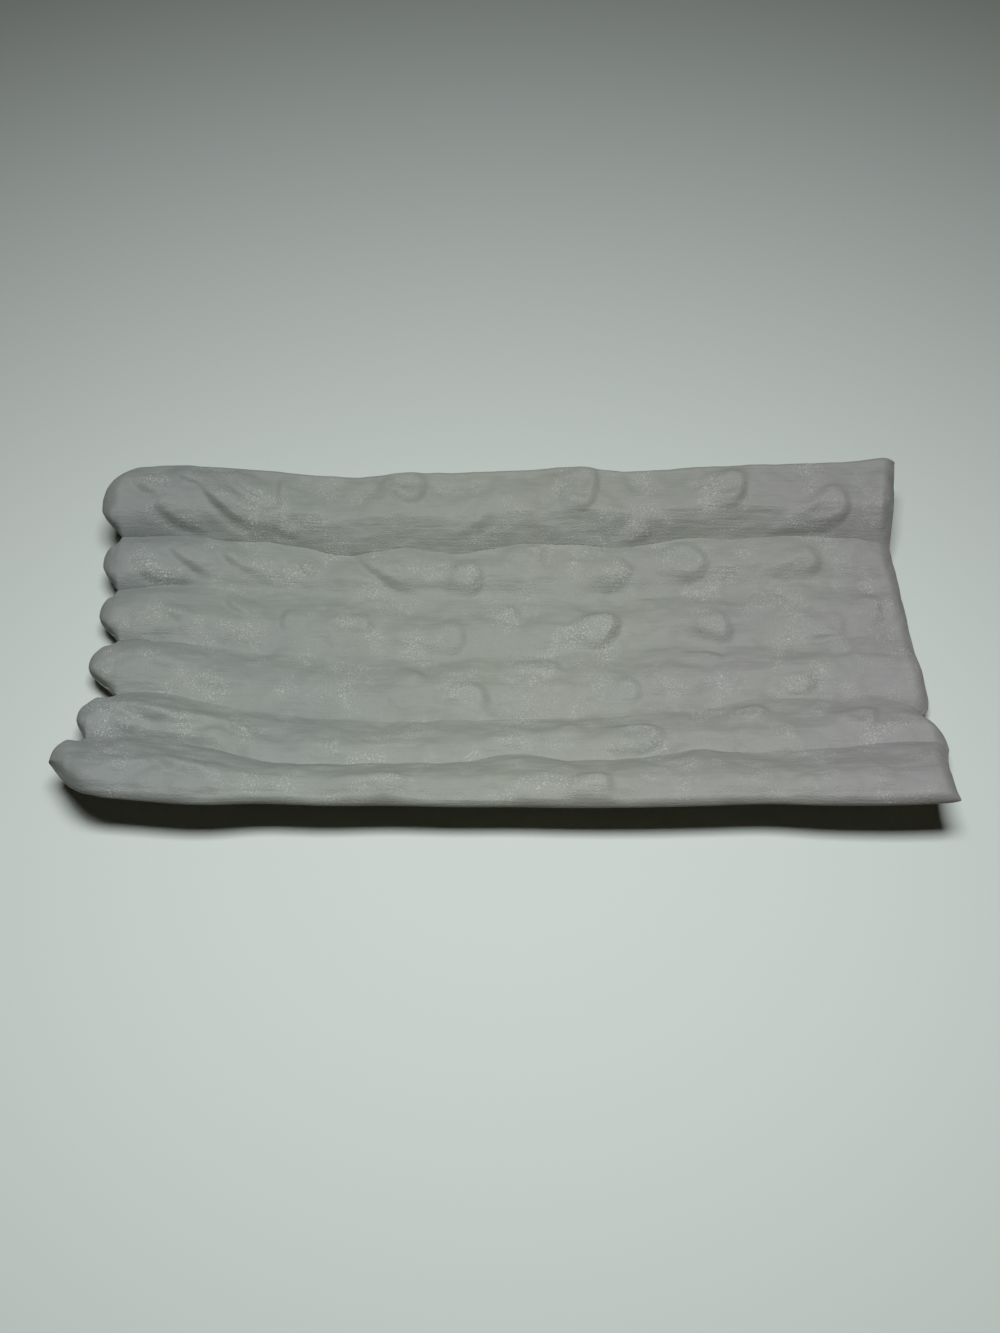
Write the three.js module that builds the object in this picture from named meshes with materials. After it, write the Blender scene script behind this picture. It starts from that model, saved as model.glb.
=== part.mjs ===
// A serving tray in unglazed stoneware, shaped as six asparagus spears lying side by side in a shallow dish.
// Millimetres, +Z up. The tips point to -X, the cut ends to +X, and the table is at Z = 0.
import * as THREE from 'three';

// The tray as a whole
const trayLength = 303;      // longest tip to the furthest cut end
const spearPitch = 23.7;     // seam to seam, where the seams run straight
const sideRise = 16;         // how far the dish climbs from its middle to its long rims
const sideCurve = 2.5;       // how late that climb comes: 2 is a parabola
const tipLift = 6;           // how far the tips sweep up
const cutLift = 4;           // and the cut ends

// The clay
const wall = 4.5;            // thickness at the seams
const rimThick = 4.4;        // thickness at the two long rims
const rimNose = 1.1;         // how far their edges bulge, which are cut square and only rounded over
const belly = 2.4;           // how far each spear swells below its seams
const bellyCurve = 0.8;      // how full that swelling is at its sides: 0.5 is an ellipse, 1 a parabola
const roundRidge = 2;        // ridge of a swelling that is round in section: at 1 it is a roof
const footFlat = 2;          // how much of the lowest bellies is ground off for the tray to stand on
const seamGap = 0.3;         // clearance between neighbouring spears

// Heads and tips
const headLength = 75;       // tip to where the stalk begins
const headFull = 19;         // tip to where the head begins to thin
const headValley = 0.8;      // valleys between the heads are crisp: under 1 they drop steeply
const tipRound = 9;          // length over which the thickness closes at a tip
const tipEdge = 0.8;         // thickness along the side of a free tip, which is round in section
const tipFree = 0.5;         // share of the way from notch to tip by which a side is round
const freeCurve = 0.5;       // swelling of a free tip at its sides: an ellipse
const roundTip = 0.5;        // the back head narrows to its tip from the rim as an ellipse
const beakBend = 3;          // the front one stays wide for longer,
const beakTip = 1.3;         // and ends in a pointed beak
const notchCurve = 1.5;      // from a notch heads narrow in a wave: over 1 it is fuller than a sine

// Cut ends
const buttLength = 60;       // length over which a spear flattens to its cut end
const slopeLength = 5.5;     // length over which the cut itself slopes off
const slopeCurve = 1.8;      // how late that slope falls
const slopeTop = 0.86;       // share of it that comes off the top
const endEdge = 0.4;         // thickness left at its foot
const endSwell = 0.5;        // share of the swellings above and below that is left there
const cornerRound = 1.6;     // rounding where a rim meets a cut end

// How each spear ends, back to front: its tip short of the longest one, its tip to the back of its middle,
// and its cut end short of the furthest one at its back, middle and front.
const tipShort = [2, 4, 5.5, 5, 4.5, 0];
const tipDrift = [-1.6, 1.7, 0.6, 1.1, 1.5, 1.7];
const cutShort = [
  [3, 3.2, 4.4], [4.4, 3.6, 3.1], [3.1, 2.4, 1.5], [1.5, 1, 0.2], [2.4, 1.2, 0], [0, 1.6, 1.6],
];

// How far each spear swells above its seams, and where across it that is highest, as a share from its back
// seam. Its ridge is round at 2 and a roof at 1. Its valleys, back and front, are V-shaped at 1 and soft at 2.
const headCrown = [5.4, 4.8, 4.8, 4.8, 4.8, 5];
const stalkCrown = [5.8, 2.6, 2.5, 2.5, 3.4, 4];
const buttCrown = [4.6, 2, 1.8, 1.8, 2.4, 3.2];
const crownPeak = [0.58, 0.55, 0.54, 0.5, 0.6, 0.45];
const crownRidge = [1.35, 2, 2, 2, 1.7, 1.5];
const valleys = [[1.2, 1], [1.1, 2], [2, 1.8], [1.8, 1.6], [1.4, 1.2], [1, 1.1]];

// Where each seam starts behind the longest tip. The rims bend in to the outer tips from further back.
const seamStart = [17, 10.5, 11, 14, 16.5, 10, 25];

// How far each seam wanders from straight, at even steps from near the tips to the cut ends.
const driftStart = 10;
const seamDrift = [
  [0.5, 2, 2, 0.5, 0, 1.5, 2, 2.5, 4, 2, 3, 3.5, 3.5, 4, 5],
  [-1, 1, -0.5, -1.5, -5, -2.5, -3.5, -0.5, -0.5, -1.5, 1.5, 1, 1.5, 0, -3.5],
  [0.5, 4, 3.5, 2, 1, 0.5, 0, -0.5, -0.5, 0.5, 2, 3.5, 5.5, 4, 4.5],
  [2.5, 2, 0.5, -2, -3, -3.5, -2.5, -1.5, -1, 0.5, 2, 2.5, 3, 5, 9],
  [1, 3, -2, -6, -7.5, -8, -7.5, -7, -6, -5, -3, 1, 2, 2, -5],
  [4, 5.5, 0.5, -6, -6, -5.5, -5, -1, -3.5, -3, 1.5, -1.5, 0, 2.5, 2.5],
  [3, 1, -0.5, 1, 0.5, 1, 0.5, 0.5, 0, 0, 0.5, 1, -0.5, -1, -0.5],
];

// Scale leaves on each stalk. along and across place the blunt end, as shares of the spear from tip to cut
// end and from its back seam to its front one. length, width and rise are sizes, and turn is in degrees,
// positive where the other end leans to the front.
const leafLip = 3.6;         // length over which the blunt end climbs
const leafBlunt = 0.45;      // most of a leaf's length that its blunt end takes
const reliefFade = 0.12;     // share of a spear's width over which leaves and scales die into a seam
const leafKeys = ['along', 'across', 'length', 'width', 'rise', 'turn'];
const leafRows = [
  [
    [0.23, 0.8, 14, 9, 1, -10], [0.41, 0.19, 20, 16, 2.2, 0], [0.48, 0.69, 14, 6, 0.8, 19],
    [0.62, 0.26, 23, 19, 2.6, 0], [0.69, 0.82, 22, 14, 1.8, 12], [0.81, 0.3, 22, 17, 2.4, 8],
    [0.93, 0.49, 32, 18, 2.4, 22],
  ],
  [
    [0.41, 0.5, 29, 17, 1.7, -12], [0.48, 0.61, 18, 15, 1.6, 0], [0.55, 0.24, 17, 12, 1.4, 0],
    [0.66, 0.56, 25, 15, 1.7, 5], [0.75, 0.44, 25, 19, 2, 4], [0.89, 0.64, 34, 16, 1.8, 6],
  ],
  [
    [0.34, 0.48, 17, 11, 1, 0], [0.45, 0.7, 23, 14, 1.4, 0], [0.52, 0.25, 11, 10, 1.3, 0],
    [0.64, 0.61, 20, 17, 2.2, 2], [0.69, 0.2, 10, 8, 1, 0], [0.78, 0.65, 18, 14, 1.6, 10],
    [0.84, 0.3, 20, 12, 1.4, 7], [0.92, 0.74, 24, 13, 1.2, 8],
  ],
  [
    [0.4, 0.31, 14, 12, 1.2, 0], [0.48, 0.66, 19, 14, 1.7, 6], [0.57, 0.26, 19, 12, 1.4, 4],
    [0.66, 0.64, 17, 13, 1.5, 12], [0.76, 0.26, 18, 10, 1.3, 0], [0.87, 0.72, 15, 12, 1.2, 6],
  ],
  [
    [0.59, 0.32, 19, 14, 1.4, 6], [0.68, 0.66, 23, 17, 2, 0], [0.81, 0.36, 17, 13, 1.4, 0],
    [0.93, 0.54, 21, 14, 1.4, 0],
  ],
  [
    [0.4, 0.69, 16, 13, 1.1, 0], [0.53, 0.24, 13, 8, 0.9, 10], [0.63, 0.72, 19, 13, 1.5, 0],
    [0.85, 0.77, 13, 12, 1, 0],
  ],
];

// Bud scales on each head. Each has a free edge between two places, given as shares like those of the leaves,
// and reach is how far the scale runs back from that edge before it dies into the head.
const scaleStep = 2.1;       // half the width of the slope at a free edge
const scaleKeys = ['along', 'across', 'toAlong', 'toAcross', 'rise', 'reach'];
const scaleRows = [
  [
    [0.04, 0.25, 0.08, 0.43, 1.2, 9], [0.09, 0.2, 0.13, 0.35, 1.4, 10], [0.13, 0.51, 0.18, 0.87, 2.4, 15],
    [0.07, 0.62, 0.13, 0.98, 2, 13], [0.17, 0.27, 0.22, 0.53, 1.4, 12], [0.23, 0.76, 0.28, 0.83, 0.9, 7],
  ],
  [
    [0.02, 0.65, 0.12, 1, 1.6, 10], [0.09, 0.41, 0.13, 0.74, 1.5, 11], [0.15, 0.36, 0.2, 0.62, 1.6, 11],
    [0.24, 0.43, 0.26, 0.7, 0.9, 8], [0.31, 0.15, 0.38, 0.9, 1.9, 15],
  ],
  [[0.09, 0.61, 0.11, 0.68, 0.9, 8], [0.15, 0.31, 0.18, 0.47, 1.4, 9], [0.23, 0.28, 0.23, 0.64, 1, 10]],
  [[0.07, 0.49, 0.11, 0.53, 0.8, 8], [0.14, 0.71, 0.2, 0.58, 0.8, 8]],
  [[0.05, 0.4, 0.18, 0.42, 1.6, 8], [0.18, 0.42, 0.21, 0.62, 1, 7]],
  [[0.07, 0.6, 0.11, 0.64, 0.8, 9], [0.13, 0.36, 0.19, 0.72, 1.3, 10]],
];

// Faceting
const crownSteps = 11;       // across the top of a spear
const rimSteps = 3;          // round a rim
const bellySteps = 3;        // across its underside
const headStep = 5;          // between sections along a head
const stalkStep = 12;        // and along a plain stalk
const tipStations = 8;
const buttStations = 4;
const leafStations = [-0.02, 0.1, 0.5, 1];   // sections of a leaf, as shares of its length from the blunt end
const leastStep = 1.8;       // sections closer than this are dropped
const seamError = 0.06;      // sections are added until no seam strays further than this from its curve

const spearCount = 6;
const clay = { color: 0x969b94, roughness: 0.85, metalness: 0 };

const { clamp, lerp, smoothstep, degToRad } = THREE.MathUtils;
const halfLength = trayLength / 2;
const halfWidth = spearCount * spearPitch / 2;
const floorMiddle = belly - footFlat + wall / 2;

// The seams, from the back rim to the front one, each a smooth curve seen from above
const seams = seamDrift.map((drift, index) => {
  const outward = index === 0 ? rimNose : index === spearCount ? -rimNose : 0;
  const start = -halfLength + driftStart;
  const step = (halfLength - start) / (drift.length - 1);
  const straight = halfWidth - index * spearPitch + outward;
  const points = drift.map((y, place) => new THREE.Vector2(start + place * step, straight + y));
  const isRim = index === 0 || index === spearCount;
  return { curve: new THREE.SplineCurve(points), start, notch: seamStart[index] - halfLength, isRim };
});

function seamAt(seam, x) {
  return seam.curve.getPoint(clamp((x - seam.start) / (halfLength - seam.start), 0, 1)).y;
}

// The middle of the clay: a trough across, with both ends swept up
function dishHeight(x, y) {
  const across = Math.abs(y) / halfWidth;
  const lift = x < 0 ? tipLift : cutLift;
  return floorMiddle + sideRise * across ** sideCurve + lift * (x / halfLength) ** 2;
}

function dishNormal(y) {
  const across = Math.abs(y) / halfWidth;
  const slope = Math.sign(y) * sideRise * sideCurve * across ** (sideCurve - 1) / halfWidth;
  return new THREE.Vector2(-slope, 1).normalize();
}

// A swelling across a spear, 0 at its sides and 1 at its peak
function swell(share, peak, [fromStart, fromEnd], ridge) {
  const climb = share < peak ? share / peak : (1 - share) / (1 - peak);
  return 1 - (1 - climb ** (share < peak ? fromStart : fromEnd)) ** ridge;
}

// Height of one scale leaf: an oval pad that climbs steeply at its blunt end and runs out flat at the other
function leafHeight(leaf, x, y) {
  const dx = leaf.x - x;
  const dy = leaf.y - y;
  const along = dx * Math.cos(leaf.lean) + dy * Math.sin(leaf.lean) - leaf.blunt;
  const aside = dx * Math.sin(leaf.lean) - dy * Math.cos(leaf.lean);
  const run = along / (along < 0 ? leaf.blunt : leaf.length - leaf.blunt);
  const away = Math.hypot(run, aside / (leaf.width / 2));
  const flatTop = Math.max(0, 1 - leafLip / leaf.blunt) * (1 - smoothstep(run, -0.5, 0.5));
  return leaf.rise * (1 - smoothstep(away, flatTop, 1));
}

// Height of one bud scale: a free edge that stands up off the head, with the scale falling away behind it
function scaleHeight(scale, x, y) {
  const along = ((x - scale.x) * scale.alongX + (y - scale.y) * scale.alongY) / scale.span;
  const behind = (y - scale.y) * scale.alongX - (x - scale.x) * scale.alongY;
  const step = smoothstep(behind, -scaleStep, scaleStep) * (1 - smoothstep(behind, 0, scale.reach));
  return scale.rise * step * smoothstep(along, -0.3, 0.3) * (1 - smoothstep(along, 0.7, 1.3));
}

function reliefAt(spear, x, y) {
  const leaf = spear.leaves.reduce((most, one) => Math.max(most, leafHeight(one, x, y)), 0);
  const scale = spear.scales.reduce((most, one) => Math.max(most, scaleHeight(one, x, y)), 0);
  return leaf + scale;
}

function makeSpear(index) {
  const back = seams[index];
  const front = seams[index + 1];
  const tip = -halfLength + tipShort[index];
  const placeAt = (along, across) => {
    const x = lerp(tip, halfLength, along);
    return new THREE.Vector2(x, lerp(seamAt(back, x), seamAt(front, x), across));
  };
  const named = (keys, row) => Object.fromEntries(keys.map((key, place) => [key, row[place]]));
  const leaves = leafRows[index].map((row) => {
    const leaf = named(leafKeys, row);
    const { x, y } = placeAt(leaf.along, leaf.across);
    const blunt = Math.min(leaf.width / 2, leafBlunt * leaf.length);
    return { ...leaf, x, y, blunt, lean: degToRad(leaf.turn) };
  });
  const scales = scaleRows[index].map((row) => {
    const scale = named(scaleKeys, row);
    const from = placeAt(scale.along, scale.across);
    const edge = placeAt(scale.toAlong, scale.toAcross).sub(from);
    const span = edge.length();
    return { ...scale, x: from.x, y: from.y, span, alongX: edge.x / span, alongY: edge.y / span };
  });
  const tipMiddle = (seamAt(back, tip) + seamAt(front, tip)) / 2 + tipDrift[index];
  return { index, tip, tipMiddle, back, front, neck: Math.max(back.notch, front.notch), leaves, scales };
}

// How short of its station a section stops near a cut end, a share of the way from its back seam to its front
function cutBack(spear, x, share) {
  const [back, middle, front] = cutShort[spear.index];
  const sides = back * (1 - share) * (1 - 2 * share) + front * share * (2 * share - 1);
  const short = sides + 4 * middle * share * (1 - share);
  return short * smoothstep(x, halfLength - buttLength, halfLength);
}

// One side of a section: the middle of its edge, half its thickness, and how far its nose stands out
function sectionSide(spear, seam, outward, x, closing, past) {
  const gone = clamp((seam.notch - x) / (seam.notch - spear.tip), 0, 1);
  const free = smoothstep(gone, 0, tipFree);
  const rimLeft = outward > 0 ? (1 - gone ** 2) ** roundTip : (1 - gone ** beakBend) ** beakTip;
  const narrowing = seam.isRim ? rimLeft : Math.acos(2 * gone ** notchCurve - 1) / Math.PI;
  const inset = seam.isRim ? cornerRound * past * past : seamGap / 2;
  const line = lerp(spear.tipMiddle, seamAt(seam, Math.max(x, seam.notch)) - outward * inset, narrowing);
  const full = seam.isRim ? rimThick / 2 : wall / 2;
  const thick = lerp(full, tipEdge / 2, free);
  const taken = 1 - endEdge / 2 / full;
  const offTop = taken * slopeTop * past ** slopeCurve;
  const offBottom = taken * (1 - slopeTop) * (1 - Math.sqrt(1 - past * past));
  const half = thick * (1 - offTop - offBottom) * closing;
  const nose = outward * (seam.isRim ? rimNose * half / full : 0);
  const y = line - nose;
  return {
    x, y, z: dishHeight(x, y), half, nose, free,
    normal: dishNormal(y), drop: thick * (offTop - offBottom), spare: (full - thick) * closing,
  };
}

function sidePoint(side, share) {
  // share runs from 1 at the top of the side to -1 at its bottom
  const out = side.nose * Math.sqrt(1 - share * share);
  const up = side.half * share - side.drop;
  return new THREE.Vector3(
    side.x,
    side.y + side.normal.x * up + side.normal.y * out,
    side.z + side.normal.y * up - side.normal.x * out,
  );
}

// A closed section of a spear at x: over the crown, down the front, back under the belly, up the back
function sectionAt(spear, x) {
  const { index } = spear;
  const gone = clamp((spear.tip + tipRound - x) / tipRound, 0, 1);
  const closing = Math.sqrt(1 - gone * gone);
  const past = clamp((x - halfLength + slopeLength) / slopeLength, 0, 1);
  const back = sectionSide(spear, spear.back, 1, x - cutBack(spear, x, 0), closing, past);
  const front = sectionSide(spear, spear.front, -1, x - cutBack(spear, x, 1), closing, past);

  const stalk = smoothstep(x + halfLength, headFull, headLength);
  const butt = smoothstep(x, halfLength - buttLength, halfLength);
  const remains = closing * lerp(1, endSwell, past);
  const crown = lerp(lerp(headCrown[index], stalkCrown[index], stalk), buttCrown[index], butt) * remains;
  const ridge = lerp(roundRidge, crownRidge[index], stalk);
  const valley = [back, front].map((side, place) => (
    lerp(lerp(headValley, valleys[index][place], stalk), freeCurve, side.free)));
  const hollow = [front, back].map((side) => lerp(bellyCurve, freeCurve, side.free));

  const points = [];
  const arc = (from, to, steps, height) => {
    const up = new THREE.Vector3(0, to.z - from.z, from.y - to.y).normalize();
    for (let step = 0; step < steps; step += 1) {
      const share = step / steps;
      const at = from.clone().lerp(to, share);
      points.push(at.addScaledVector(up, height(share, at)));
    }
  };
  // Where a side is free, the swellings take up the thickness that its edge has lost
  arc(sidePoint(back, 1), sidePoint(front, 1), crownSteps, (share, at) => {
    at.x = x - cutBack(spear, x, share);
    const fadeBack = spear.back.isRim ? 1 : smoothstep(share, 0, reliefFade);
    const fadeFront = spear.front.isRim ? 1 : smoothstep(1 - share, 0, reliefFade);
    const relief = reliefAt(spear, at.x, at.y) * fadeBack * fadeFront * closing * (1 - past);
    const height = crown + lerp(back.spare, front.spare, share);
    return height * swell(share, crownPeak[index], valley, ridge) + relief;
  });
  // Leaves at a rim lift its rounded edge with them
  const goDown = (seam, side, topToBottom) => {
    const steps = seam.isRim ? rimSteps : 1;
    const top = sidePoint(side, 1);
    const lift = seam.isRim ? reliefAt(spear, top.x, top.y) * closing * (1 - past) : 0;
    for (let step = 0; step < steps; step += 1) {
      const level = topToBottom * Math.cos(Math.PI * step / steps);
      const point = sidePoint(side, level);
      point.z += lift * Math.max(0, level);
      points.push(point);
    }
  };
  goDown(spear.front, front, 1);
  arc(sidePoint(front, -1), sidePoint(back, -1), bellySteps, (share, at) => {
    at.x = x - cutBack(spear, x, 1 - share);
    const depth = belly * remains + lerp(front.spare, back.spare, share);
    return depth * swell(share, 0.5, hollow, roundRidge);
  });
  goDown(spear.back, back, -1);
  for (const point of points) point.z = Math.max(point.z, 0);
  return points;
}

// Sections are close together at the rounded ends, along the head, at each leaf and where a seam bends
function stationsOf(spear) {
  const { tip, neck } = spear;
  const slopeStart = halfLength - slopeLength;
  const places = [];
  for (let step = 1; step <= tipStations; step += 1) {
    places.push(tip + (neck - tip) * (1 - Math.cos(Math.PI / 2 * step / tipStations)));
  }
  const headEnd = -halfLength + headLength;
  for (let x = neck + headStep; x < headEnd; x += headStep) places.push(x);
  for (let x = headEnd; x < slopeStart - leastStep; x += stalkStep) places.push(x);
  for (const leaf of spear.leaves) {
    for (const share of leafStations) places.push(leaf.x - share * leaf.length * Math.cos(leaf.lean));
  }
  places.sort((one, other) => one - other);
  const kept = [];
  for (const x of places) {
    const onTip = x <= neck;
    if (x < slopeStart - leastStep && (onTip || x - kept.at(-1) > leastStep)) kept.push(x);
  }
  kept.push(slopeStart);
  const strays = (from, to) => [spear.back, spear.front].some((seam) => {
    const middle = (from + to) / 2;
    const chord = (seamAt(seam, from) + seamAt(seam, to)) / 2;
    return from > seam.notch && Math.abs(seamAt(seam, middle) - chord) > seamError;
  });
  const fill = (from, to) => {
    if (!strays(from, to)) return [to];
    const middle = (from + to) / 2;
    return [...fill(from, middle), ...fill(middle, to)];
  };
  const stations = [kept[0], ...kept.slice(1).flatMap((to, place) => fill(kept[place], to))];
  for (let step = 1; step <= buttStations; step += 1) {
    stations.push(slopeStart + slopeLength * Math.sin(Math.PI / 2 * step / buttStations));
  }
  return stations;
}

// Skin a row of closed sections, with a fan to a point at each end
function loft(sections, tipPoint, buttPoint) {
  const around = sections[0].length;
  const points = [tipPoint, ...sections.flat(), buttPoint];
  const last = points.length - 1;
  const triangles = [];
  const vertex = (ring, place) => 1 + ring * around + place % around;
  for (let place = 0; place < around; place += 1) {
    triangles.push(0, vertex(0, place + 1), vertex(0, place));
    triangles.push(last, vertex(sections.length - 1, place), vertex(sections.length - 1, place + 1));
    for (let ring = 0; ring + 1 < sections.length; ring += 1) {
      const [a, b] = [vertex(ring, place), vertex(ring, place + 1)];
      const [c, d] = [vertex(ring + 1, place), vertex(ring + 1, place + 1)];
      triangles.push(a, b, c, b, d, c);
    }
  }
  const geometry = new THREE.BufferGeometry().setFromPoints(points);
  geometry.setIndex(triangles);
  geometry.computeVertexNormals();
  return geometry;
}

function middleOf(section) {
  return section.reduce((sum, point) => sum.add(point), new THREE.Vector3()).divideScalar(section.length);
}

function spearMesh(index) {
  const spear = makeSpear(index);
  const sections = stationsOf(spear).map((x) => sectionAt(spear, x));
  const tipPoint = new THREE.Vector3(spear.tip, spear.tipMiddle, dishHeight(spear.tip, spear.tipMiddle));
  const mesh = new THREE.Mesh(
    loft(sections, tipPoint, middleOf(sections.at(-1))),
    new THREE.MeshStandardMaterial(clay),
  );
  mesh.name = `spear_${index + 1}`;
  return mesh;
}

const tray = new THREE.Group();
for (let index = 0; index < spearCount; index += 1) tray.add(spearMesh(index));

// The origin is under the middle of the tray
const box = new THREE.Box3().setFromObject(tray);
const middle = box.getCenter(new THREE.Vector3());
tray.position.set(-middle.x, -middle.y, -box.min.z);

export default tray;
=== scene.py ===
import math
import bpy
import numpy as np
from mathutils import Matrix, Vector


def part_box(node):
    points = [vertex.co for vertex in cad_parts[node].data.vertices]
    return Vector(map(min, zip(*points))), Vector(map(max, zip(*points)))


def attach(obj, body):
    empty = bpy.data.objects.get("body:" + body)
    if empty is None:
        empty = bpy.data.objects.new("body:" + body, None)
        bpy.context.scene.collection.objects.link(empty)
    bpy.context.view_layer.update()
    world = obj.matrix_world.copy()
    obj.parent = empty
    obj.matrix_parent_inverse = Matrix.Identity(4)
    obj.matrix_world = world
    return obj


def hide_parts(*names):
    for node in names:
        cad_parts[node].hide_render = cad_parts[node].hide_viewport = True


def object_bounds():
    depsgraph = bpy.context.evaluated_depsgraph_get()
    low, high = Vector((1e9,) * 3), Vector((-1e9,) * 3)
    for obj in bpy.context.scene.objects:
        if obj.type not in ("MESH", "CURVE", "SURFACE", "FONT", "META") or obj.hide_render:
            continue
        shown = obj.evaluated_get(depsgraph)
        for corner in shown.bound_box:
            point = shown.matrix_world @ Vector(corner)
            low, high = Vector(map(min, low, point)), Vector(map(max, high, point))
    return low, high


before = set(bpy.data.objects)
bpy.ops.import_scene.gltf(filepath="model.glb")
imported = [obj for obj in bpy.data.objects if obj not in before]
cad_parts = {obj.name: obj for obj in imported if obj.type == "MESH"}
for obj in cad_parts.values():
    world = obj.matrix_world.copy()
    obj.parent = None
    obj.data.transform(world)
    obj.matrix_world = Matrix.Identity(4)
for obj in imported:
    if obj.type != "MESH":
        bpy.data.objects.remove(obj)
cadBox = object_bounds()
mm = 0.001

# the form that all six spears share, sizes in mm
tray = {
    "pitch": 23.7,          # seam to seam
    "sideRise": 16.0,       # middle of the dish up to its long rims
    "sideCurve": 2.5,       # how late that climb comes
    "tipLift": 6.0,         # sweep of the tips
    "cutLift": 4.0,         # and of the cut ends
    "wall": 4.5,            # clay at the seams
    "rimThick": 4.4,        # clay at the two long rims
    "rimNose": 1.1,         # bulge of their edges, which are cut square and only rounded over
    "endRound": 1.6,        # rounding of the corners where a rim meets a cut end
    "endLength": 5.5,       # length over which a cut end slopes off
    "endShare": 0.2,        # share of the tray's length over which spears take on the form of their cut ends
    "cutSlope": 0.84,       # share of the thickness that the slope takes off
    "slopeCurve": 1.8,      # how late it does so
    "cutEdge": 0.02,        # share of the thickness left at the very end
    "cutSwell": 0.5,        # share of crown and belly left there
    "cornerShare": 0.22,    # share of a spear's width over which a corner of its cut end is rounded off
    "belly": 2.4,           # swelling below the seams
    "bellySoftness": 0.8,   # valleys between the bellies: under 1 is crisp
    "footFlat": 2.0,        # ground off the lowest bellies
    "headLength": 75.0,     # behind the longest tip
    "headFull": 0.25,       # share of that over which a head keeps its full crown
    "tipRound": 9.0,        # length over which a tip closes
    "tipEdge": 0.4,         # half the thickness left at the side of a free tip, which is round in section
    "freeBy": 0.5,          # share of the way from notch to tip at which a side is free of its neighbour,
    "noseBy": 0.6,          # and at which it bulges fully
    "freeSoftness": 0.5,    # a free side goes round from crown to belly
    "seamStart": [17, 10.5, 11, 14, 16.5, 10, 25],   # behind the longest tip, back rim to front rim
    "seamDrift": [                              # wander of each seam, even steps from tips to cut ends
        [0.5, 2, 2, 0.5, 0, 1.5, 2, 2.5, 4, 2, 3, 3.5, 3.5, 4, 5],
        [-1, 1, -0.5, -1.5, -5, -2.5, -3.5, -0.5, -0.5, -1.5, 1.5, 1, 1.5, 0, -3.5],
        [0.5, 4, 3.5, 2, 1, 0.5, 0, -0.5, -0.5, 0.5, 2, 3.5, 5.5, 4, 4.5],
        [2.5, 2, 0.5, -2, -3, -3.5, -2.5, -1.5, -1, 0.5, 2, 2.5, 3, 5, 9],
        [1, 3, -2, -6, -7.5, -8, -7.5, -7, -6, -5, -3, 1, 2, 2, -5],
        [4, 5.5, 0.5, -6, -6, -5.5, -5, -1, -3.5, -3, 1.5, -1.5, 0, 2.5, 2.5],
        [3, 1, -0.5, 1, 0.5, 1, 0.5, 0.5, 0, 0, 0.5, 1, -0.5, -1, -0.5],
    ],
    "driftStart": 10.0,     # first drift value, behind the longest tip
    "roundTip": 0.5,        # the back head narrows to its tip from the rim as an ellipse
    "beakBend": 3.0,        # the front one stays wide for longer,
    "beakTip": 1.3,         # and ends in a pointed beak
    "notchCurve": 1.5,      # from a notch heads narrow in a wave: over 1 it is fuller than a sine
    "crownCurve": 3.5,      # and so do their crowns, only later
    "crownFill": 3.0,       # how near to its edges such a crown stays full
    "headSoftness": 0.95,   # valleys between the heads: under 1 is crisp
    "headRidge": 2.0,       # heads are round in section
    "seamFade": 0.1,        # share of a spear's width over which leaves and scales fade out at a seam
}
lastSeam = len(tray["seamStart"]) - 1   # the front rim, as seam 0 is the back rim
halfLength = (cadBox[1][0] - cadBox[0][0]) / 2 / mm
halfWidth = lastSeam / 2 * tray["pitch"]
floorMiddle = tray["belly"] - tray["footFlat"] + tray["wall"] / 2


def smooth(low, high, value):
    share = np.clip((value - low) / (high - low), 0, 1)
    return share * share * (3 - 2 * share)


# where a seam runs at the stations x, on a smooth curve through its drift values
def seamAt(index, x):
    drift = np.array(tray["seamDrift"][index], float)
    last = len(drift) - 1
    start = -halfLength + tray["driftStart"]
    place = np.clip((x - start) / (halfLength - start), 0, 1) * last
    near = np.minimum(place.astype(int), last - 1)
    part = place - near
    before, here = drift[np.maximum(near - 1, 0)], drift[near]
    there, after = drift[near + 1], drift[np.minimum(near + 2, last)]
    leave, arrive = (there - before) / 2, (after - here) / 2
    wander = (2 * here - 2 * there + leave + arrive) * part**3
    wander += (3 * there - 3 * here - 2 * leave - arrive) * part**2 + leave * part + here
    rim = tray["rimNose"] * ((index == 0) - (index == lastSeam))
    return halfWidth - index * tray["pitch"] + rim + wander


# the frame's origin is under the middle of the outline, which is not quite the middle of the dish
everyX = np.linspace(-halfLength, halfLength, round(2 * halfLength) + 1)   # one station each mm
toFrame = -(seamAt(0, everyX).max() + seamAt(lastSeam, everyX).min()) / 2


# height of the middle of the clay over the table
def dishHeight(x, y):
    across = np.abs(y) / halfWidth
    climb = tray["sideRise"] * across ** tray["sideCurve"]
    lift = np.where(x < 0, tray["tipLift"], tray["cutLift"])
    return floorMiddle + climb + lift * (x / halfLength) ** 2


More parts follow.
